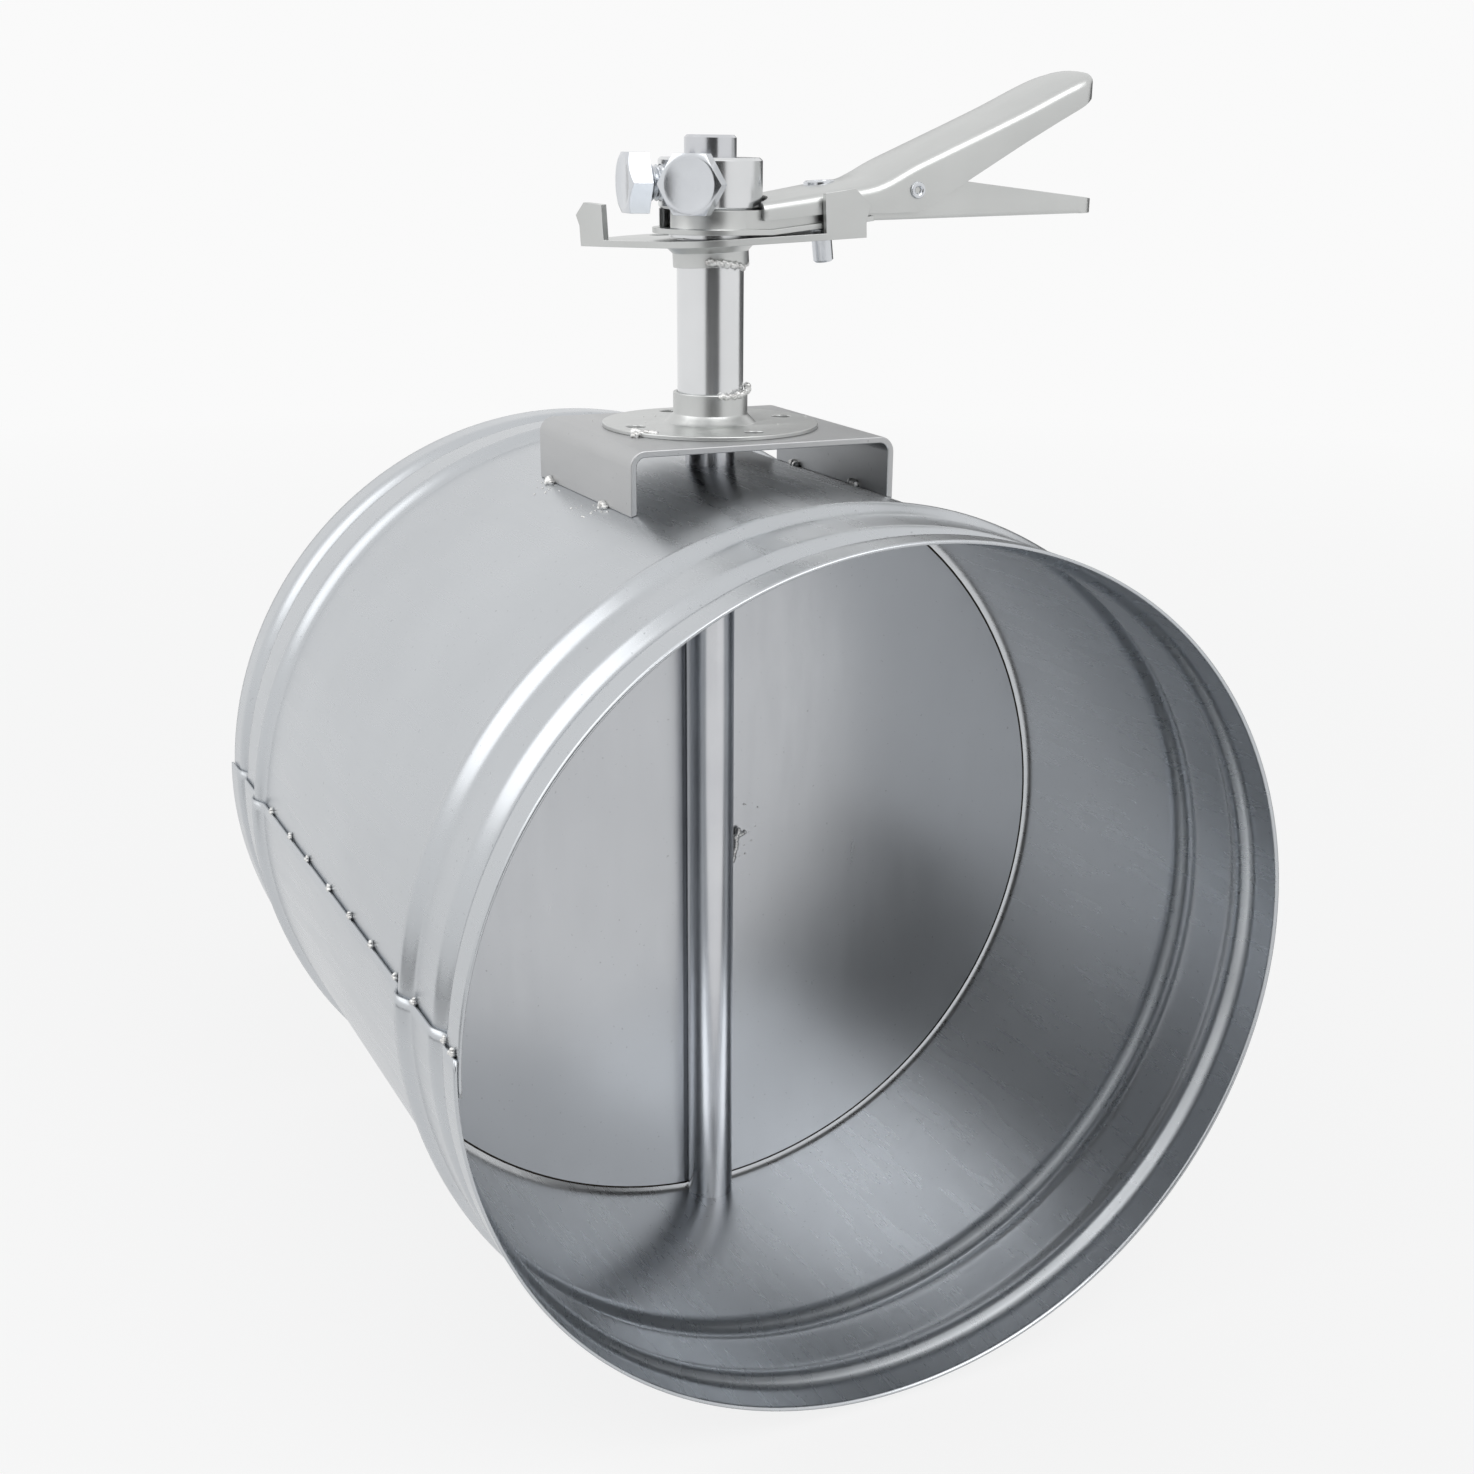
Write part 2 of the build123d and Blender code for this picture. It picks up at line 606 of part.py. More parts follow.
with BuildPart() as locking_pin:
    with BuildSketch(pin_plane.offset(-pin_foot)):
        Circle(pin_radius)
    extrude(amount=pin_foot + pin_length)
    chamfer(locking_pin.edges().group_by(Axis.Z)[0], pin_wall / 2)
    with BuildSketch(pin_plane.offset(-pin_foot)):
        Circle(pin_radius - pin_wall)
    extrude(amount=pin_foot + pin_length - pin_wall, mode=Mode.SUBTRACT)
    with BuildSketch(pin_plane.offset(-pin_foot).rotated((0, 0, pin_slot_angle))):
        Rectangle(pin_radius, pin_slot, align=(Align.MIN, Align.CENTER))
    extrude(amount=pin_foot + pin_length - squeeze_sheet, mode=Mode.SUBTRACT)
    with BuildSketch(pin_plane.offset(pin_length)):
        Circle(pin_head_radius)
    extrude(amount=pin_head)
save(locking_pin.part, "locking_pin")

with BuildPart() as return_spring:
    spring_foot = arm_under + arm_climb * (spring_x - foot_end) / (handle_reach - foot_end) + handle_sheet
    spring_low = spring_foot + spring_wire + spring_end_gap
    coil = Helix(spring_height / spring_turns, spring_height, spring_radius,
                 center=(spring_x, 0, spring_low), mode=Mode.PRIVATE)
    with BuildLine() as wire:
        Polyline(*(coil @ (i / spring_chords) for i in range(spring_chords + 1)))
    with BuildSketch(Plane(origin=wire.line @ 0, z_dir=wire.line % 0)):
        RegularPolygon(spring_wire, wire_sides)
    sweep(transition=Transition.RIGHT)
save(return_spring.part, "return_spring")
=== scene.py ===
"""Looks for the round volume control damper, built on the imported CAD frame."""

import random
from math import atan2, cos, exp, floor, hypot, pi, radians, sin, sqrt

import bmesh
import bpy
from mathutils import Matrix, Vector, noise


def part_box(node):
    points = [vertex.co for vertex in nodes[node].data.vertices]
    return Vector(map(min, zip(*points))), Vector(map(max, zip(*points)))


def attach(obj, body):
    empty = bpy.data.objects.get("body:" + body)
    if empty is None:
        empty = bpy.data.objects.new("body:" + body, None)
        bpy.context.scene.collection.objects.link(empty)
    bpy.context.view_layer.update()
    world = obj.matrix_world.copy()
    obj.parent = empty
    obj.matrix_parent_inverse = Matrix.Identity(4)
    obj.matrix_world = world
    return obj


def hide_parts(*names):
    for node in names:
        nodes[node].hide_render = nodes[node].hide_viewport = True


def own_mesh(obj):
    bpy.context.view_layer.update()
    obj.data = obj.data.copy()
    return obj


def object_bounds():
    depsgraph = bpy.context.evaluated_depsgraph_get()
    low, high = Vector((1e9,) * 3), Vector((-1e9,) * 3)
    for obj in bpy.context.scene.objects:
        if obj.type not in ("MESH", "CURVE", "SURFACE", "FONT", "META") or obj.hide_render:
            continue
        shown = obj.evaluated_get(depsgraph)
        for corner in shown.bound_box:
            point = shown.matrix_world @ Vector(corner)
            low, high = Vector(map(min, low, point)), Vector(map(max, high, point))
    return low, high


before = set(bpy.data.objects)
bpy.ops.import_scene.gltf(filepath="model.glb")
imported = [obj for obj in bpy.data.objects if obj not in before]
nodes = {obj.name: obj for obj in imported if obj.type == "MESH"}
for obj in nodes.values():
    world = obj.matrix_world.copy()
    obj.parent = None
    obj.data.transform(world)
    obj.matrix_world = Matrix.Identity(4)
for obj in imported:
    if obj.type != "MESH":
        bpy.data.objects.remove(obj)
cad_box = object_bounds()
MM = 0.001

# ================================================================ finishes


def start_material(name):
    """A fresh material with its shader and the object's own coordinates."""
    material = bpy.data.materials.new(name)
    material.use_nodes = True
    tree = material.node_tree
    shader = tree.nodes["Principled BSDF"]
    place = tree.nodes.new("ShaderNodeTexCoord").outputs["Object"]
    return material, tree, shader, place


def stretched(tree, place, scale):
    """Coordinates squeezed or drawn out along each axis."""
    mapping = tree.nodes.new("ShaderNodeMapping")
    mapping.inputs["Scale"].default_value = scale
    tree.links.new(place, mapping.inputs["Vector"])
    return mapping.outputs["Vector"]


def cloud(tree, place, scale, detail=3.0, roughness=0.5):
    """Soft noise, from 0 to 1."""
    texture = tree.nodes.new("ShaderNodeTexNoise")
    texture.inputs["Scale"].default_value = scale
    texture.inputs["Detail"].default_value = detail
    texture.inputs["Roughness"].default_value = roughness
    tree.links.new(place, texture.inputs["Vector"])
    return texture.outputs["Fac"]


def ramp(tree, value, stops):
    """Colour or grey read off a ramp; each stop is (position, (r, g, b))."""
    node = tree.nodes.new("ShaderNodeValToRGB")
    band = node.color_ramp
    band.elements[0].position, band.elements[1].position = stops[0][0], stops[-1][0]
    band.elements[0].color = (*stops[0][1], 1)
    band.elements[1].color = (*stops[-1][1], 1)
    for position, colour in stops[1:-1]:
        band.elements.new(position).color = (*colour, 1)
    tree.links.new(value, node.inputs["Fac"])
    return node.outputs["Color"]


def span(tree, value, low, high):
    """The value 0 to 1 carried over to low to high."""
    node = tree.nodes.new("ShaderNodeMapRange")
    node.inputs["To Min"].default_value = low
    node.inputs["To Max"].default_value = high
    tree.links.new(value, node.inputs["Value"])
    return node.outputs["Result"]


def mixed(tree, factor, first, second):
    """Two colours mixed by a factor."""
    node = tree.nodes.new("ShaderNodeMix")
    node.data_type = "RGBA"
    tree.links.new(factor, node.inputs[0])
    for socket, colour in ((node.inputs[6], first), (node.inputs[7], second)):
        if isinstance(colour, tuple):
            socket.default_value = (*colour, 1)
        else:
            tree.links.new(colour, socket)
    return node.outputs[2]


def raise_bumps(tree, shader, height, depth, strength=1.0):
    """Small surface relief, depth in metres, laid over any relief already there."""
    bump = tree.nodes.new("ShaderNodeBump")
    bump.inputs["Strength"].default_value = strength
    bump.inputs["Distance"].default_value = depth
    tree.links.new(height, bump.inputs["Height"])
    normal = shader.inputs["Normal"]
    if normal.is_linked:
        tree.links.new(normal.links[0].from_socket, bump.inputs["Normal"])
    tree.links.new(bump.outputs["Normal"], normal)


def galvanised_sheet(name, pale, dark, grain=(1, 1, 1), rough=(0.34, 0.5)):
    """Hot-dip galvanised sheet: cloudy matte zinc with a faint rolling grain and a few dull specks."""
    material, tree, shader, place = start_material(name)
    drawn = stretched(tree, place, grain)
    clouds = cloud(tree, place, 14, 4, 0.55)
    fine = cloud(tree, drawn, 260, 5, 0.6)
    colour = mixed(tree, clouds, dark, pale)
    specks = ramp(tree, cloud(tree, place, 900, 2, 0.5), [(0.70, (0, 0, 0)), (0.78, (1, 1, 1))])
    colour = mixed(tree, specks, colour, tuple(0.82 * c for c in dark))
    tree.links.new(colour, shader.inputs["Base Color"])
    tree.links.new(span(tree, fine, *rough), shader.inputs["Roughness"])
    shader.inputs["Metallic"].default_value = 1.0
    raise_bumps(tree, shader, clouds, 0.00006)
    raise_bumps(tree, shader, fine, 0.000002)
    return material


def zinc_plate(name, pale, dark, rough=(0.16, 0.3), scratches=(1, 1, 1), relief=0.0000015):
    """Bright zinc plate: smooth, with fine draw marks and slightly cloudy patches."""
    material, tree, shader, place = start_material(name)
    drawn = stretched(tree, place, scratches)
    clouds = cloud(tree, place, 60, 3, 0.5)
    marks = cloud(tree, drawn, 420, 4, 0.65)
    tree.links.new(mixed(tree, clouds, dark, pale), shader.inputs["Base Color"])
    tree.links.new(span(tree, marks, *rough), shader.inputs["Roughness"])
    shader.inputs["Metallic"].default_value = 1.0
    raise_bumps(tree, shader, clouds, 0.00002)
    raise_bumps(tree, shader, marks, relief)
    return material


def weld_metal(name, pale, dark):
    """Weld bead: dull grey metal with darker scale in the ripples."""
    material, tree, shader, place = start_material(name)
    scale = cloud(tree, place, 700, 4, 0.6)
    tree.links.new(ramp(tree, scale, [(0.3, dark), (0.5, pale)]), shader.inputs["Base Color"])
    tree.links.new(span(tree, scale, 0.3, 0.55), shader.inputs["Roughness"])
    shader.inputs["Metallic"].default_value = 1.0
    raise_bumps(tree, shader, scale, 0.00005)
    return material


def rust_and_gap_shade_rim(material, radius, colour):
    """Brown-black rim round a disc that faces along Y: rust on the sheared edge, and painted shade of the gap
    between the disc and the casing.
    """
    tree = material.node_tree
    shader = tree.nodes["Principled BSDF"]
    place = tree.nodes.new("ShaderNodeTexCoord").outputs["Object"]
    length = tree.nodes.new("ShaderNodeVectorMath")
    length.operation = "LENGTH"
    tree.links.new(stretched(tree, place, (1, 0, 1)), length.inputs[0])
    beyond = tree.nodes.new("ShaderNodeMath")
    beyond.operation = "GREATER_THAN"
    beyond.inputs[1].default_value = radius
    tree.links.new(length.outputs["Value"], beyond.inputs[0])
    face = shader.inputs["Base Color"].links[0].from_socket
    tree.links.new(mixed(tree, beyond.outputs[0], face, colour), shader.inputs["Base Color"])


casing_zinc = galvanised_sheet("galvanised_casing", (0.60, 0.622, 0.645), (0.48, 0.50, 0.522), (1, 0.12, 1),
                              (0.22, 0.34))
blade_zinc = galvanised_sheet("galvanised_blade", (0.61, 0.625, 0.648), (0.50, 0.513, 0.535), (1, 1, 0.15),
                              (0.24, 0.36))
bracket_zinc = galvanised_sheet("galvanised_bracket", (0.56, 0.565, 0.57), (0.45, 0.455, 0.46), (1, 0.2, 1))
plated_tube = zinc_plate("plated_tube", (0.78, 0.79, 0.80), (0.66, 0.67, 0.68), (0.14, 0.3), (1, 1, 0.05))
plated_lever = zinc_plate("plated_lever", (0.63, 0.64, 0.632), (0.54, 0.55, 0.543), (0.28, 0.42), (0.1, 1, 1))
plated_bolt = zinc_plate("plated_bolt", (0.74, 0.76, 0.79), (0.58, 0.60, 0.63), (0.14, 0.32))
drawn_shaft = zinc_plate("drawn_shaft", (0.70, 0.71, 0.73), (0.56, 0.57, 0.60), (0.16, 0.3), (1, 1, 0.03))
bright_weld = weld_metal("weld_bead", (0.78, 0.78, 0.77), (0.42, 0.41, 0.40))
spring_wire = zinc_plate("spring_wire", (0.56, 0.56, 0.57), (0.42, 0.42, 0.43), (0.25, 0.4))

finish_of_node = {
    "standoff_bracket": bracket_zinc, "base_flange": plated_lever, "standoff_tube": plated_tube,
    "locking_quadrant": plated_lever, "shaft": drawn_shaft, "blade": blade_zinc, "hub": plated_tube,
    "handle_base": plated_lever, "pivot_rivet": plated_bolt, "return_spring": spring_wire,
    "locking_pin": plated_bolt, "duct_casing": casing_zinc, "bracket_welds": bright_weld,
    "base_flange_weld": bright_weld, "lower_collar_weld": bright_weld, "upper_collar_weld": bright_weld,
    "blade_weld": bright_weld, "set_bolt_front": plated_bolt, "set_bolt_side": plated_bolt,
    "squeeze_lever": plated_lever}
blade_radius = (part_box("blade")[1].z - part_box("blade")[0].z) / 2
# the blade's outer rim is painted brown-black: rust on its cut edge, and painted shade of the gap to the casing
rust_and_gap_shade_rim(blade_zinc, blade_radius - 0.55 * MM, (0.035, 0.03, 0.026))
for node, material in finish_of_node.items():
    nodes[node].data.materials.clear()
    nodes[node].data.materials.append(material)

# ================================================================ bench tools


def add_piece(bm, name, material, body, stands_for=(), sharp=35):
    """Turn a finished bmesh into a named piece that rides on a body."""
    bmesh.ops.remove_doubles(bm, verts=bm.verts, dist=1e-7)
    bmesh.ops.recalc_face_normals(bm, faces=bm.faces)
    mesh = bpy.data.meshes.new(name)
    bm.to_mesh(mesh)
    bm.free()
    mesh.shade_smooth()
    mesh.set_sharp_from_angle(angle=radians(sharp))
    mesh.materials.append(material)
    piece = bpy.data.objects.new(name, mesh)
    bpy.context.scene.collection.objects.link(piece)
    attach(piece, body)
    if stands_for:
        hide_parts(*stands_for)
    return piece


def give_thickness(piece, thickness, offset=-1.0):
    """Live thickness for a sheet-metal piece."""
    solid = piece.modifiers.new("sheet", "SOLIDIFY")
    solid.thickness = thickness
    solid.offset = offset
    solid.use_even_offset = True


def ease_edges(piece, width, segments=2, angle=40):
    """Live rounding of a piece's cut edges."""
    bevel = piece.modifiers.new("edges", "BEVEL")
    bevel.width = width
    bevel.segments = segments
    bevel.limit_method = "ANGLE"
    bevel.angle_limit = radians(angle)
    bevel.use_clamp_overlap = True


def chain(bm, points):
    """An open run of edges through the points."""
    verts = [bm.verts.new(p) for p in points]
    for a, b in zip(verts, verts[1:]):
        bm.edges.new((a, b))
    return verts


def smooth(t):
    """0 to 1 with a level start and end."""
    t = min(max(t, 0.0), 1.0)
    return t * t * (3 - 2 * t)


# ================================================================ rolled casing
low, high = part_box("duct_casing")
half_length = high.y
duct_radius = 100.0 * MM
casing_sheet = 0.6 * MM
bead_height, bead_half, bead_inset = 2.0 * MM, 5.5 * MM, 35.0 * MM
groove_depth, groove_half, groove_inset = 2.0 * MM, 5.0 * MM, 12.5 * MM
seam_angle = radians(175.8)
lap_lift = 0.85 * MM          # rise of the outer layer at its free edge
lap_fade = radians(30)
lap_tuck = radians(4.6)       # how far the inner layer runs on under it


def rolled_shape(y):
    """Height of the rolled beads and grooves over the plain sheet, along the duct."""
    inset = half_length - abs(y)
    bead = max(0.0, 1 - abs(inset - bead_inset) / bead_half)
    groove = max(0.0, 1 - abs(inset - groove_inset) / groove_half)
    return bead_height * smooth(bead) - groove_depth * smooth(groove)


bm = bmesh.new()
steps_along = 170
profile = []
for i in range(steps_along + 1):
    y = -half_length + 2 * half_length * i / steps_along
    profile.append(Vector((duct_radius + rolled_shape(y), y, 0)))
chain(bm, profile)
bmesh.ops.rotate(bm, verts=bm.verts, cent=(0, 0, 0), matrix=Matrix.Rotation(-seam_angle, 3, "Y"))
turn = 2 * pi + lap_tuck
rings = 240
bmesh.ops.spin(bm, geom=bm.verts[:] + bm.edges[:], cent=(0, 0, 0), axis=(0, -1, 0), angle=turn, steps=rings)
bm.verts.ensure_lookup_table()
print("casing ring verts", len(bm.verts))
for index, vert in enumerate(bm.verts):
    ring = index // (steps_along + 1)
    swept = turn * ring / rings
    lift = lap_lift * (1 - smooth(swept / lap_fade))
    out = Vector((vert.co.x, 0, vert.co.z)).normalized()
    vert.co += out * lift
casing = add_piece(bm, "rolled_casing", casing_zinc, "casing", ["duct_casing"], sharp=60)
give_thickness(casing, casing_sheet)

# ================================================================ squeeze lever
lever_half, lever_start, lever_tip = 12.8, 7.7, 97.3
hub_cut = 13.2
fold = 1.8                    # radius of the pressed edges
web_line = [(7.0, 159.4), (15.0, 160.4), (24.0, 161.5), (36.0, 163.0), (40.0, 164.3), (46.0, 167.5),
            (56.0, 171.6), (67.0, 176.1), (78.0, 180.7), (88.0, 185.3), (94.0, 187.7), (97.3, 188.1)]
edge_line = [(7.0, 155.6), (24.0, 157.2), (40.0, 157.2), (48.5, 157.5), (54.3, 160.6), (65.5, 166.8),
             (76.6, 172.9), (86.0, 177.8), (93.0, 181.3), (97.3, 183.9)]


def along(line, x):
    """Height of a run of points at x."""
    for (x0, z0), (x1, z1) in zip(line, line[1:]):
        if x <= x1:
            return z0 + (z1 - z0) * (x - x0) / (x1 - x0)
    return line[-1][1]


def eased(line, x, reach=2.5):
    """The same, with its corners rounded off."""
    return sum(along(line, x + reach * k / 2) for k in (-2, -1, 0, 1, 2)) / 5


bm = bmesh.new()
inner = sqrt(hub_cut ** 2 - lever_start ** 2)
arc = [(hub_cut * cos(a), hub_cut * sin(a)) for a in
       (atan2(inner, lever_start) * (k / 6 - 1) for k in range(13))]
outline = [(lever_start, -lever_half)] + arc + [(lever_start, lever_half), (lever_tip, lever_half),
                                                (lever_tip, -lever_half)]
web = bm.faces.new([bm.verts.new((x, y, 0)) for x, y in outline])
corners = [v for v in bm.verts if v.co.x > lever_tip - 1]
bmesh.ops.bevel(bm, geom=corners, offset=5.5, segments=6, profile=0.5, affect="VERTICES", material=-1)
skirt_edges = [e for e in bm.edges if (e.verts[0].co.x + e.verts[1].co.x) / 2 > hub_cut + 1]
grown = bmesh.ops.extrude_edge_only(bm, edges=skirt_edges)["geom"]
bmesh.ops.translate(bm, verts=[g for g in grown if isinstance(g, bmesh.types.BMVert)], vec=(0, 0, -6))
bmesh.ops.bevel(bm, geom=skirt_edges, offset=fold, segments=4, profile=0.5, affect="EDGES", material=-1)
cuts = [(x, 0) for x in range(9, 97, 2)] + [(48.5, 0), (54.3, 0)]
for x, y in cuts:
    bmesh.ops.bisect_plane(bm, geom=bm.verts[:] + bm.edges[:] + bm.faces[:], plane_co=(x, 0, 0), plane_no=(1, 0, 0))
for y in range(-10, 11, 2):
    bmesh.ops.bisect_plane(bm, geom=bm.verts[:] + bm.edges[:] + bm.faces[:], plane_co=(0, y, 0), plane_no=(0, 1, 0))
for vert in bm.verts:
    x, y, z = vert.co
    crown = 1.6 * (1 - (y / lever_half) ** 2) * (1 - 0.6 * smooth((30 - x) / 20))
    top_z = eased(web_line, x) + crown
    if z >= -fold:
        vert.co.z = top_z + z
    else:
        share = (z + fold) / (fold - 6)
        rim_z = eased(edge_line, x, 1.2)
        vert.co.z = (top_z - fold) * (1 - share) + rim_z * share
bmesh.ops.scale(bm, verts=bm.verts, vec=(MM, MM, MM))
lever = add_piece(bm, "squeeze_lever_sheet", plated_lever, "squeeze_grip", ["squeeze_lever"], sharp=50)
give_thickness(lever, 1.2 * MM)
ease_edges(lever, 0.18 * MM)

# ================================================================ set bolts


def hexagon_reach(angle, flats):
    """Centre to the side of a hexagon in a direction."""
    return flats / 2 / cos((angle + pi / 6) % (pi / 3) - pi / 6)


def add_bolt(name, angle, stand, stands_for):
    """M8 set bolt, built along +Z with its head's underside at zero, then swung into the hub."""
    bm = bmesh.new()
    flats, head, shank, pitch, start = 13.0, 5.3, 4.0, 1.25, 6.03
    sides = 72
    ring = bmesh.ops.create_circle(bm, cap_ends=True, segments=sides, radius=1)["verts"]
    for v in ring:
        turn = atan2(v.co.y, v.co.x)
        v.co = Vector((cos(turn), sin(turn), 0)) * hexagon_reach(turn, flats)
    lid = bm.faces[:]
    grown = bmesh.ops.extrude_face_region(bm, geom=lid)["geom"]
    upper = [g for g in grown if isinstance(g, bmesh.types.BMVert)]
    for v in upper:
        v.co.z = head - max(0.0, hypot(v.co.x, v.co.y) - 6.25) * 0.6
    roof = [g for g in grown if isinstance(g, bmesh.types.BMFace)]
    bmesh.ops.inset_region(bm, faces=roof, thickness=0.35)
    rim = {v for f in roof for v in f.verts}
    for v in rim:
        turn = atan2(v.co.y, v.co.x)
        v.co = Vector((6.1 * cos(turn), 6.1 * sin(turn), head))
    bmesh.ops.inset_region(bm, faces=roof, thickness=0.5)
    for v in {v for f in roof for v in f.verts}:
        v.co.z = head + 0.03
    bmesh.ops.inset_region(bm, faces=roof, thickness=0.4)
    for v in {v for f in roof for v in f.verts}:
        v.co.z = head - 0.12
    # threads
    run = 12.0 + stand - start
    profile, z = [], 0.0
    while z > -run + 2.0:
        profile += [Vector((shank - 0.05, 0, z)), Vector((shank, 0, z - 0.1 * pitch)),
                    Vector((shank - 0.62, 0, z - 0.5 * pitch)), Vector((shank - 0.62, 0, z - 0.6 * pitch))]
        z -= pitch
    profile += [Vector((shank - 0.6, 0, z)), Vector((2.6, 0, -run)), Vector((0, 0, -run))]
    wire = chain(bm, profile)
    edges = [e for v in wire for e in v.link_edges]
    bmesh.ops.spin(bm, geom=wire + list(set(edges)), cent=(0, 0, 0), axis=(0, 0, 1), angle=2 * pi, steps=48,
                   use_merge=True)
    bmesh.ops.scale(bm, verts=bm.verts, vec=(MM, MM, MM))
    # lay the bolt down: its head points away from the shaft
    out = Vector((cos(angle), sin(angle), 0))
    frame_of_bolt = Matrix(((0, -out.y, out.x), (0, out.x, out.y), (1, 0, 0)))
    bmesh.ops.transform(bm, verts=bm.verts, matrix=frame_of_bolt.to_4x4())
    bmesh.ops.translate(bm, verts=bm.verts, vec=out * (12.0 + stand) * MM + Vector((0, 0, bolt_z)))
    piece = add_piece(bm, name, plated_bolt, "blade_assembly", [stands_for], sharp=28)
    ease_edges(piece, 0.12 * MM, 2, 28)
    return piece


hub_low, hub_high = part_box("hub")
bolt_z = hub_high.z - 11.1 * MM / 2
add_bolt("front_bolt", radians(230.5), 1.2, "set_bolt_front")
add_bolt("side_bolt", radians(173.0), 3.5, "set_bolt_side")

# ================================================================ sheet parts, from the solids


def copy_of(node):
    """A merged copy of a solid's mesh, its flat faces whole again."""
    bm = bmesh.new()
    bm.from_mesh(nodes[node].data)
    bmesh.ops.remove_doubles(bm, verts=bm.verts, dist=2e-6)
    bmesh.ops.dissolve_limit(bm, angle_limit=radians(0.4), verts=bm.verts, edges=bm.edges)
    return bm


def eased_copy(name, node, material, body, width, angle=30, tilt=None):
    """The solid again with its cut edges rounded, turned first if the real one sits out of true."""
    bm = copy_of(node)
    if tilt:
        bmesh.ops.rotate(bm, verts=bm.verts, cent=tilt[0], matrix=Matrix.Rotation(tilt[1], 3, tilt[2]))
        for vert in bm.verts:
            if vert.co.x > 20 * MM and vert.co.z > tube_top + 5.5 * MM:
                vert.co += Vector((0, -0.45, -2.3)) * MM
    piece = add_piece(bm, name, material, body, [node], sharp=30)
    ease_edges(piece, width, 2, angle)
    return piece


tube_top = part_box("standoff_tube")[1].z
# the quadrant was welded on a few degrees out of square, low on the open side
across = Vector((sin(0.465), cos(0.465), 0))
eased_copy("quadrant_plate", "locking_quadrant", plated_lever, "casing", 0.22 * MM, 40,
           ((0, 0, tube_top - 2 * MM), radians(-3.1), across))
eased_copy("bracket_sheet", "standoff_bracket", bracket_zinc, "casing", 0.25 * MM)
eased_copy("flange_sheet", "base_flange", plated_lever, "casing", 0.2 * MM)
eased_copy("hub_barrel", "hub", plated_tube, "blade_assembly", 0.12 * MM)
eased_copy("pin_roll", "locking_pin", plated_bolt, "squeeze_grip", 0.12 * MM)

# ================================================================ fixed handle
bm = copy_of("handle_base")
folds = []
for edge in bm.edges:
    a, b = edge.verts
    low_side = all(v.co.x > 14 * MM and abs(abs(v.co.y) - 11.2 * MM) < 0.05 * MM for v in (a, b))
    floor_z_here = [155.5 * MM + 1.5 * MM * (v.co.x - 36 * MM) / (64 * MM) for v in (a, b)]
    if low_side and all(v.co.x > 35.9 * MM for v in (a, b)) and all(
            abs(v.co.z - z) < 0.06 * MM for v, z in zip((a, b), floor_z_here)):
        folds.append(edge)
print("folds", len(folds))
bmesh.ops.bevel(bm, geom=folds, offset=1.1 * MM, segments=4, profile=0.5, affect="EDGES", material=-1)
handle = add_piece(bm, "handle_sheet", plated_lever, "blade_assembly", ["handle_base"], sharp=30)
ease_edges(handle, 0.15 * MM)

# ================================================================ rivet


def turned(name, profile, material, body, stands_for, place, axis_to, steps=48):
    """A lathe-turned piece: (radius, height) profile in millimetres, stood along an axis at a place."""
    bm = bmesh.new()
    wire = chain(bm, [Vector((r, 0, z)) for r, z in profile])
    bmesh.ops.spin(bm, geom=wire + list({e for v in wire for e in v.link_edges}), cent=(0, 0, 0), axis=(0, 0, 1),
                   angle=2 * pi, steps=steps, use_merge=True)
    bmesh.ops.scale(bm, verts=bm.verts, vec=(MM, MM, MM))
    turn = Vector(axis_to).to_track_quat("Z", "Y").to_matrix().to_4x4()
    bmesh.ops.transform(bm, verts=bm.verts, matrix=turn)
    bmesh.ops.translate(bm, verts=bm.verts, vec=place)
    return add_piece(bm, name, material, body, stands_for, sharp=40)


rivet_low, rivet_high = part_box("pivot_rivet")
rivet_middle = (rivet_low + rivet_high) / 2
half_grip = 12.85
rolled_head = [(0.75, half_grip - 1.5), (0.75, half_grip + 0.15), (0.95, half_grip + 0.45), (1.35, half_grip + 0.62),
               (1.75, half_grip + 0.5), (1.92, half_grip + 0.22), (1.9, half_grip)]
turned("pivot_rivet_rolled",
       [(0, 1 - half_grip)] + [(r, -z) for r, z in rolled_head] + [(1.45, -half_grip), (1.45, half_grip)]
       + rolled_head[::-1] + [(0, half_grip - 1.0)],
       plated_bolt, "blade_assembly", ["pivot_rivet"], rivet_middle, (0, 1, 0))

# ================================================================ staked head of the pin
pin_low, pin_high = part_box("locking_pin")
pin_x, pin_y = (pin_low.x + pin_high.x) / 2, (pin_low.y + pin_high.y) / 2
head_z = (eased(web_line, pin_x / MM) + 1.6 * (1 - 0.6 * smooth((30 - pin_x / MM) / 20))) * MM
turned("pin_head_ring", [(0, 0.1), (2.5, 0.1), (2.75, 0.42), (3.3, 0.5), (3.65, 0.25), (3.7, -0.4), (0, -0.4)],
       plated_bolt, "squeeze_grip", (), (pin_x, pin_y, head_z), (-0.06, 0, 1))

# ================================================================ return spring
spring_low, spring_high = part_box("return_spring")
middle = (spring_low + spring_high) / 2
bm = bmesh.new()
wire_section = bmesh.ops.create_circle(bm, segments=10, radius=0.5 * MM)["verts"]
bmesh.ops.rotate(bm, verts=wire_section, cent=(0, 0, 0), matrix=Matrix.Rotation(pi / 2, 3, "X"))
bmesh.ops.translate(bm, verts=wire_section, vec=(3.6 * MM, 0, 0))
coils, per_coil = 4, 36
climb = (spring_high.z - spring_low.z - 1.4 * MM) / (coils * per_coil)
bmesh.ops.spin(bm, geom=bm.verts[:] + bm.edges[:], cent=(0, 0, 0), axis=(0, 0, 1), dvec=(0, 0, climb),
               angle=2 * pi * coils, steps=coils * per_coil)
bmesh.ops.holes_fill(bm, edges=[e for e in bm.edges if e.is_boundary], sides=0)
bmesh.ops.translate(bm, verts=bm.verts, vec=(middle.x, middle.y, spring_low.z + 0.7 * MM))
spring = add_piece(bm, "spring_coil", spring_wire, "blade_assembly", ["return_spring"])
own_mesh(spring)

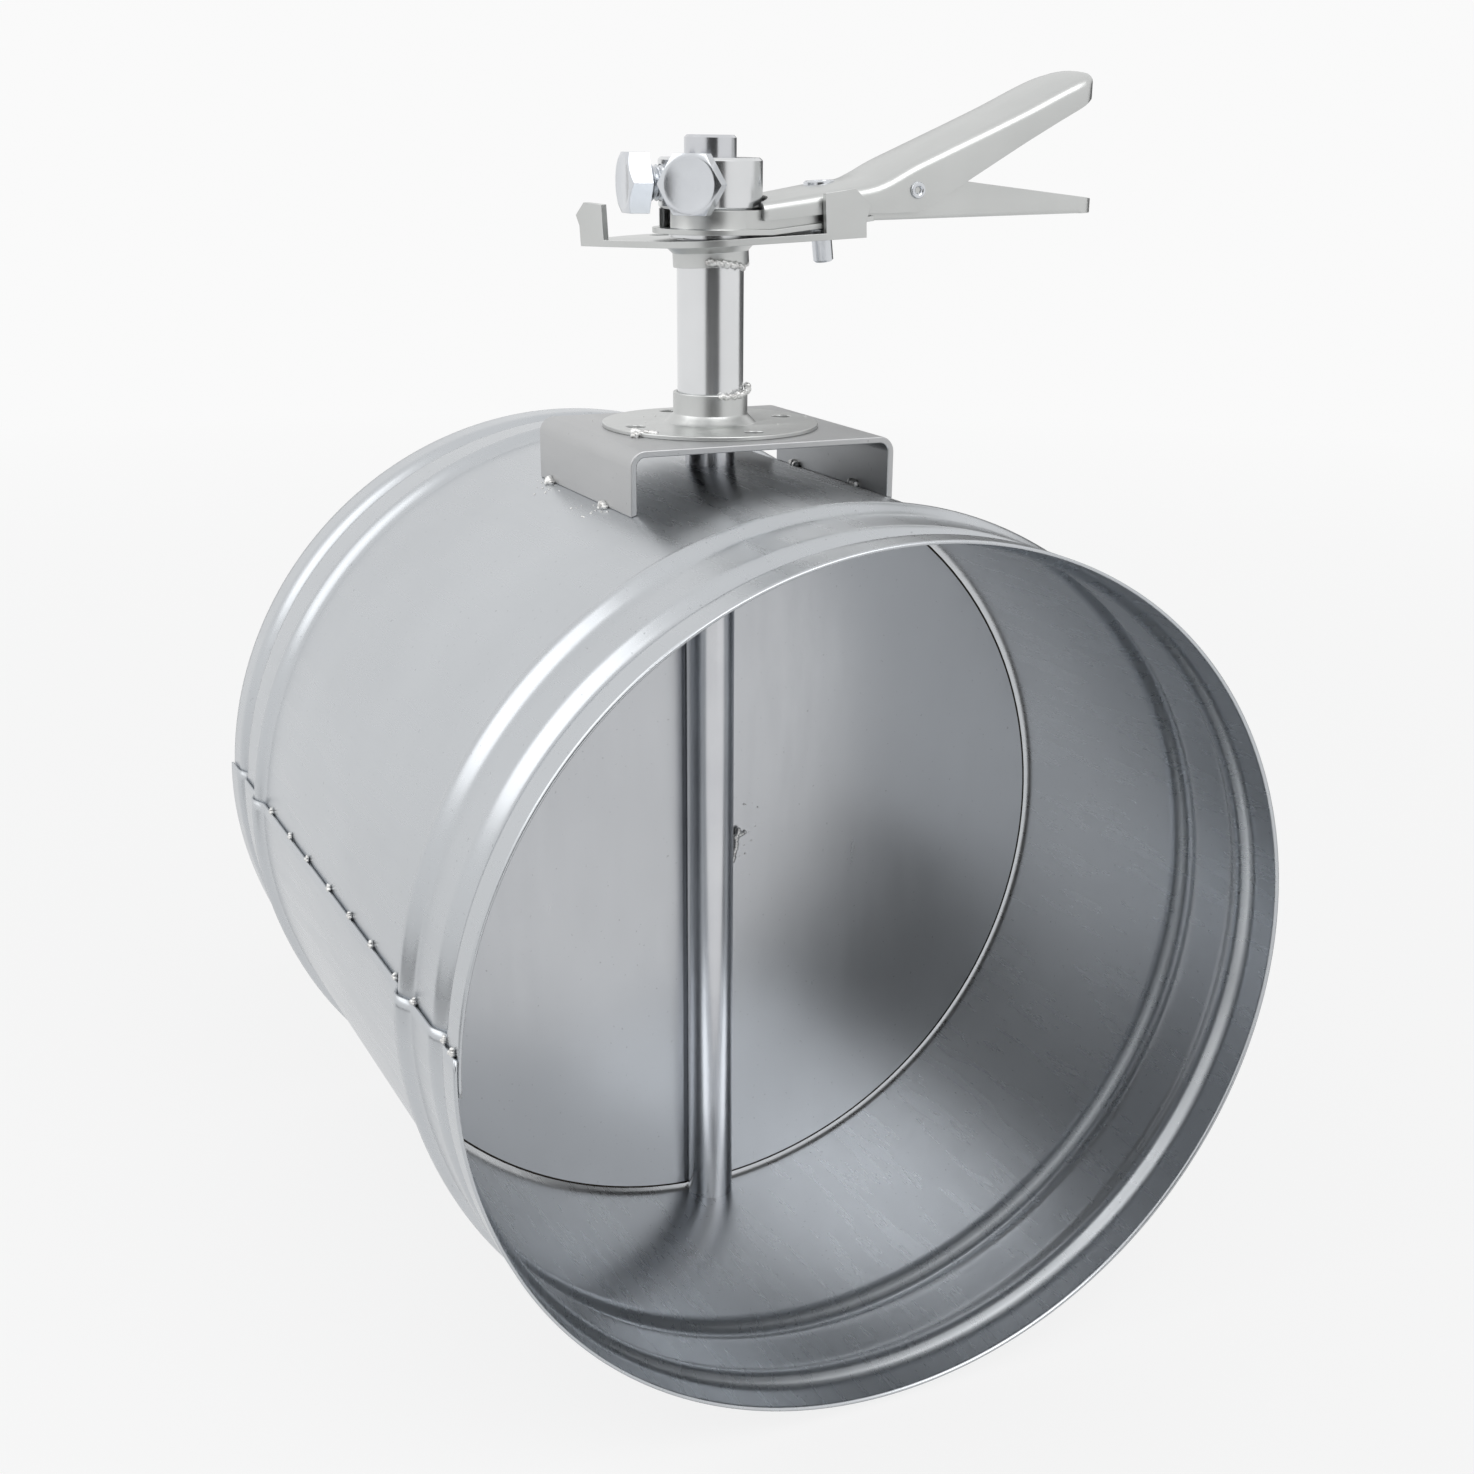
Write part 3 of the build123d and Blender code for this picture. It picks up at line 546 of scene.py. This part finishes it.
# ================================================================ welds
chance = random.Random(7)


def weld_run(bm, points, size, ripple=0.25, pitch=0.5):
    """A bead of weld: overlapping drops along a line of points, in millimetres."""
    for a, b in zip(points, points[1:]):
        a, b = Vector(a), Vector(b)
        drops = max(1, int((b - a).length / (size * pitch)))
        for k in range(drops):
            spot = a.lerp(b, k / drops) * MM
            spread = size * MM * (1 + chance.uniform(-ripple, ripple))
            made = bmesh.ops.create_icosphere(bm, subdivisions=2, radius=spread)["verts"]
            bmesh.ops.scale(bm, verts=made, vec=(1, 1, chance.uniform(0.75, 1.1)))
            bmesh.ops.translate(bm, verts=made, vec=spot)


def roughen(bm, depth, scale=900):
    """Push a bead's surface in and out a little."""
    for vert in bm.verts:
        vert.co += noise.noise_vector(vert.co * scale) * depth * MM


def ring_points(radius, height, start, sweep, lift=0.0, wobble=0.0, count=14):
    """Points round the stand-off tube, rising by lift over the sweep."""
    points = []
    for k in range(count + 1):
        a = radians(start + sweep * k / count)
        rise = height + lift * (k / count) ** 2 + wobble * sin(k * 1.9)
        points.append((radius * cos(a), radius * sin(a), rise))
    return points


def add_weld(name, runs, body, stands_for, depth=0.12):
    """Beads of overlapping drops in one piece, in place of a plain weld solid."""
    bm = bmesh.new()
    for points, size in runs:
        weld_run(bm, points, size)
    roughen(bm, depth)
    return add_piece(bm, name, bright_weld, body, stands_for, sharp=180)


add_weld("lower_bead", [(ring_points(8.95, 116.6, 262, 92, 1.6, 0.2, 24), 0.78)], "casing", ["lower_collar_weld"])
add_weld("upper_bead", [(ring_points(9.15, 146.6, 243, 60, -1.2, 0.25, 20), 0.76),
                        (ring_points(8.6, 145.6, 300, 30, 0.6, 0.2), 0.5)], "casing", ["upper_collar_weld"])
add_weld("flange_tack", [([(-23.2, -9.0, 109.6), (-21.5, -11.1, 109.9), (-19.6, -13.4, 109.8)], 0.95),
                         ([(-24.6, -11.6, 109.3), (-21.8, -11.4, 109.9)], 0.7)], "casing", ["base_flange_weld"])
left_x, right_x = -33.7, 31.1
casing_at = lambda x: sqrt(100.0 ** 2 - x ** 2)
tack_runs = []
for y in (20.3, -14.9):
    z = casing_at(left_x) + 0.4
    tack_runs += [([(left_x, y - 1.6, z), (left_x, y + 1.4, z + 0.3)], 0.85),
                  ([(left_x - 0.8, y, z - 0.5), (left_x + 0.4, y + 0.2, z + 1.1)], 0.7)]
for y in (17.4, -15.0):
    z = casing_at(right_x) + 0.4
    tack_runs += [([(right_x, y - 1.6, z), (right_x, y + 1.4, z + 0.3)], 0.85)]
add_weld("bracket_tacks", tack_runs, "casing", ["bracket_welds"], 0.25)
add_weld("blade_tack", [([(7.6, 2.6, -4.2), (8.4, 2.4, -1.0), (8.6, 2.3, 2.4), (9.4, 2.6, 4.4)], 0.75),
                        ([(8.2, 2.3, 2.2), (11.8, 3.2, 2.9)], 0.6)], "blade_assembly", ["blade_weld"], 0.2)

# ================================================================ lap seam spot welds and spatter
bm = bmesh.new()
for y in (55, 34, 16, -5, -24, -42, -61, -75, -95, -101):
    radius = (100.5 + 1000 * rolled_shape(y * MM))
    turn = seam_angle - radians(0.15)
    spot = (radius * cos(turn), y, radius * sin(turn))
    weld_run(bm, [spot, (spot[0], spot[1] + 1.5, spot[2])], 0.55)
    weld_run(bm, [(spot[0] + 0.1, y + 0.4, spot[2] + 0.9), spot], 0.5)
roughen(bm, 0.2)
add_piece(bm, "seam_spots", bright_weld, "casing", sharp=180)


def spatter(name, spots, body):
    """Small frozen drops thrown from a weld; each spot is (x, y, z, size)."""
    bm = bmesh.new()
    for x, y, z, size in spots:
        made = bmesh.ops.create_icosphere(bm, subdivisions=1, radius=size * MM)["verts"]
        bmesh.ops.translate(bm, verts=made, vec=(x * MM, y * MM, z * MM))
    return add_piece(bm, name, bright_weld, body, sharp=180)


drops = []
for y in (20.3, -14.9):
    for k in range(14):
        x = left_x - abs(chance.gauss(1.5, 3.0))
        drops.append((x, y + chance.gauss(0, 3.5), casing_at(x), chance.uniform(0.12, 0.38)))
for k in range(10):
    a, r = chance.uniform(0, 2 * pi), chance.uniform(10, 30)
    drops.append((r * cos(a), r * sin(a) - 1.3, 108.95 if r > 25.75 else 109.95, chance.uniform(0.1, 0.25)))
spatter("casing_spatter", drops, "casing")
spatter("blade_spatter", [(10 + abs(chance.gauss(0, 3)), 3.5, 2 + chance.gauss(0, 4), chance.uniform(0.1, 0.3))
                          for k in range(12)], "blade_assembly")


# ================================================================ floor, light, camera
def seen_directly(tree):
    """1 for rays that show the backdrop itself: to the eye, off gloss and through glass."""
    ray = tree.nodes.new("ShaderNodeLightPath")
    total = ray.outputs["Is Camera Ray"]
    for kind in ("Is Glossy Ray", "Is Transmission Ray"):
        either = tree.nodes.new("ShaderNodeMath")
        either.operation = "MAXIMUM"
        tree.links.new(total, either.inputs[0])
        tree.links.new(ray.outputs[kind], either.inputs[1])
        total = either.outputs[0]
    return total


floor_z = cad_box[0][2] - 0.0005
bm = bmesh.new()
bmesh.ops.create_grid(bm, x_segments=1, y_segments=1, size=6.0)
mesh = bpy.data.meshes.new("floor")
bmesh.ops.translate(bm, verts=bm.verts, vec=(0, 0, floor_z))
bm.to_mesh(mesh)
bm.free()
floor = bpy.data.objects.new("floor", mesh)
bpy.context.scene.collection.objects.link(floor)
floor_paint, tree, shader, place = start_material("floor_paint")
shader.inputs["Base Color"].default_value = (0.86, 0.86, 0.86, 1)
shader.inputs["Roughness"].default_value = 0.9
shader.inputs["Specular IOR Level"].default_value = 0.1
white_share = tree.nodes.new("ShaderNodeMixShader")
white = tree.nodes.new("ShaderNodeEmission")
white.inputs["Color"].default_value = (0.955, 0.955, 0.955, 1)
far = tree.nodes.new("ShaderNodeVectorMath")
far.operation = "LENGTH"
tree.links.new(place, far.inputs[0])
fade = tree.nodes.new("ShaderNodeMapRange")
fade.inputs["From Min"].default_value = 0.35
fade.inputs["From Max"].default_value = 1.6
fade.inputs["To Min"].default_value = 0.86
fade.inputs["To Max"].default_value = 1.0
tree.links.new(far.outputs["Value"], fade.inputs["Value"])
share = tree.nodes.new("ShaderNodeMath")
share.operation = "MULTIPLY"
tree.links.new(seen_directly(tree), share.inputs[0])
tree.links.new(fade.outputs["Result"], share.inputs[1])
tree.links.new(share.outputs[0], white_share.inputs["Fac"])
tree.links.new(shader.outputs[0], white_share.inputs[1])
tree.links.new(white.outputs[0], white_share.inputs[2])
tree.links.new(white_share.outputs[0], tree.nodes["Material Output"].inputs["Surface"])
mesh.materials.append(floor_paint)

world = bpy.data.worlds.new("studio")
bpy.context.scene.world = world
world.use_nodes = True
tree = world.node_tree
ambient = tree.nodes["Background"]
ambient.inputs["Color"].default_value = (0.94, 0.945, 0.95, 1)
ambient.inputs["Strength"].default_value = 0.6
backdrop = tree.nodes.new("ShaderNodeBackground")
backdrop.inputs["Color"].default_value = (0.955, 0.955, 0.955, 1)
backdrop.inputs["Strength"].default_value = 1
either = tree.nodes.new("ShaderNodeMixShader")
tree.links.new(seen_directly(tree), either.inputs["Fac"])
tree.links.new(ambient.outputs[0], either.inputs[1])
tree.links.new(backdrop.outputs[0], either.inputs[2])
tree.links.new(either.outputs[0], tree.nodes["World Output"].inputs["Surface"])


def softbox(name, place, target, size, power, tint=(1, 1, 1)):
    """A rectangular lamp at a place, facing a target."""
    data = bpy.data.lights.new(name, "AREA")
    data.shape = "RECTANGLE"
    data.size, data.size_y = size
    data.energy = power
    data.color = tint
    lamp = bpy.data.objects.new(name, data)
    bpy.context.scene.collection.objects.link(lamp)
    lamp.location = place
    lamp.rotation_euler = (Vector(target) - Vector(place)).to_track_quat("-Z", "Y").to_euler()
    return lamp


def dark_flag(name, bearing, spread, low, high, distance, shade):
    """A grey card stood round the set, so that the metal has something dark to mirror; unseen directly."""
    bm = bmesh.new()
    left, right = radians(bearing - spread), radians(bearing + spread)
    strip = [bm.verts.new((distance * cos(a), distance * sin(a), low)) for a in
             (left + (right - left) * k / 8 for k in range(9))]
    edges = [bm.edges.new(pair) for pair in zip(strip, strip[1:])]
    grown = bmesh.ops.extrude_edge_only(bm, edges=edges)["geom"]
    bmesh.ops.translate(bm, verts=[g for g in grown if isinstance(g, bmesh.types.BMVert)], vec=(0, 0, high - low))
    mesh = bpy.data.meshes.new(name)
    bm.to_mesh(mesh)
    bm.free()
    card = bpy.data.objects.new(name, mesh)
    bpy.context.scene.collection.objects.link(card)
    card.visible_camera = card.visible_diffuse = card.visible_shadow = False
    paint, tree, shader, place = start_material(name)
    shader.inputs["Base Color"].default_value = (shade, shade, shade, 1)
    shader.inputs["Roughness"].default_value = 0.9
    mesh.materials.append(paint)


dark_flag("front_flag", 254, 24, -0.06, 0.62, 1.0, 0.03)
dark_flag("side_flag", 35, 30, -0.06, 0.42, 1.2, 0.12)
# grey card lying on the floor to the lower left, seen only in reflections: painted shade of the floor round the
# casing's foot, for its lower left side to mirror
dark_flag("floor_shade_card", 185, 32, floor_z + 0.002, floor_z + 0.05, 0.42, 0.35)

softbox("overhead", (0.05, -0.75, 0.95), (0, 0, 0.02), (0.95, 0.7), 4.2)
softbox("left_bank", (-0.85, 0.15, 0.85), (0, 0, 0.02), (0.9, 0.9), 2.9)

yaw, pitch, roll = 0.465, 0.371, 0.015
eye = Vector((-0.19472, -0.43096, 0.17535))
ahead = Vector((sin(yaw) * cos(pitch), cos(yaw) * cos(pitch), -sin(pitch)))
side = Vector((cos(yaw), -sin(yaw), 0))
up = side.cross(ahead)
right = side * cos(roll) + up * sin(roll)
top = up * cos(roll) - side * sin(roll)
lens = bpy.data.cameras.new("camera")
camera = bpy.data.objects.new("camera", lens)
bpy.context.scene.collection.objects.link(camera)
camera.matrix_world = Matrix((
    (right.x, top.x, -ahead.x, eye.x), (right.y, top.y, -ahead.y, eye.y),
    (right.z, top.z, -ahead.z, eye.z), (0, 0, 0, 1)))
lens.sensor_width = 36
lens.lens = 47.44
lens.shift_x, lens.shift_y = -0.0317, 0.0997
lens.clip_start = 0.01
bpy.context.scene.camera = camera
bpy.context.scene.view_settings.view_transform = "Standard"
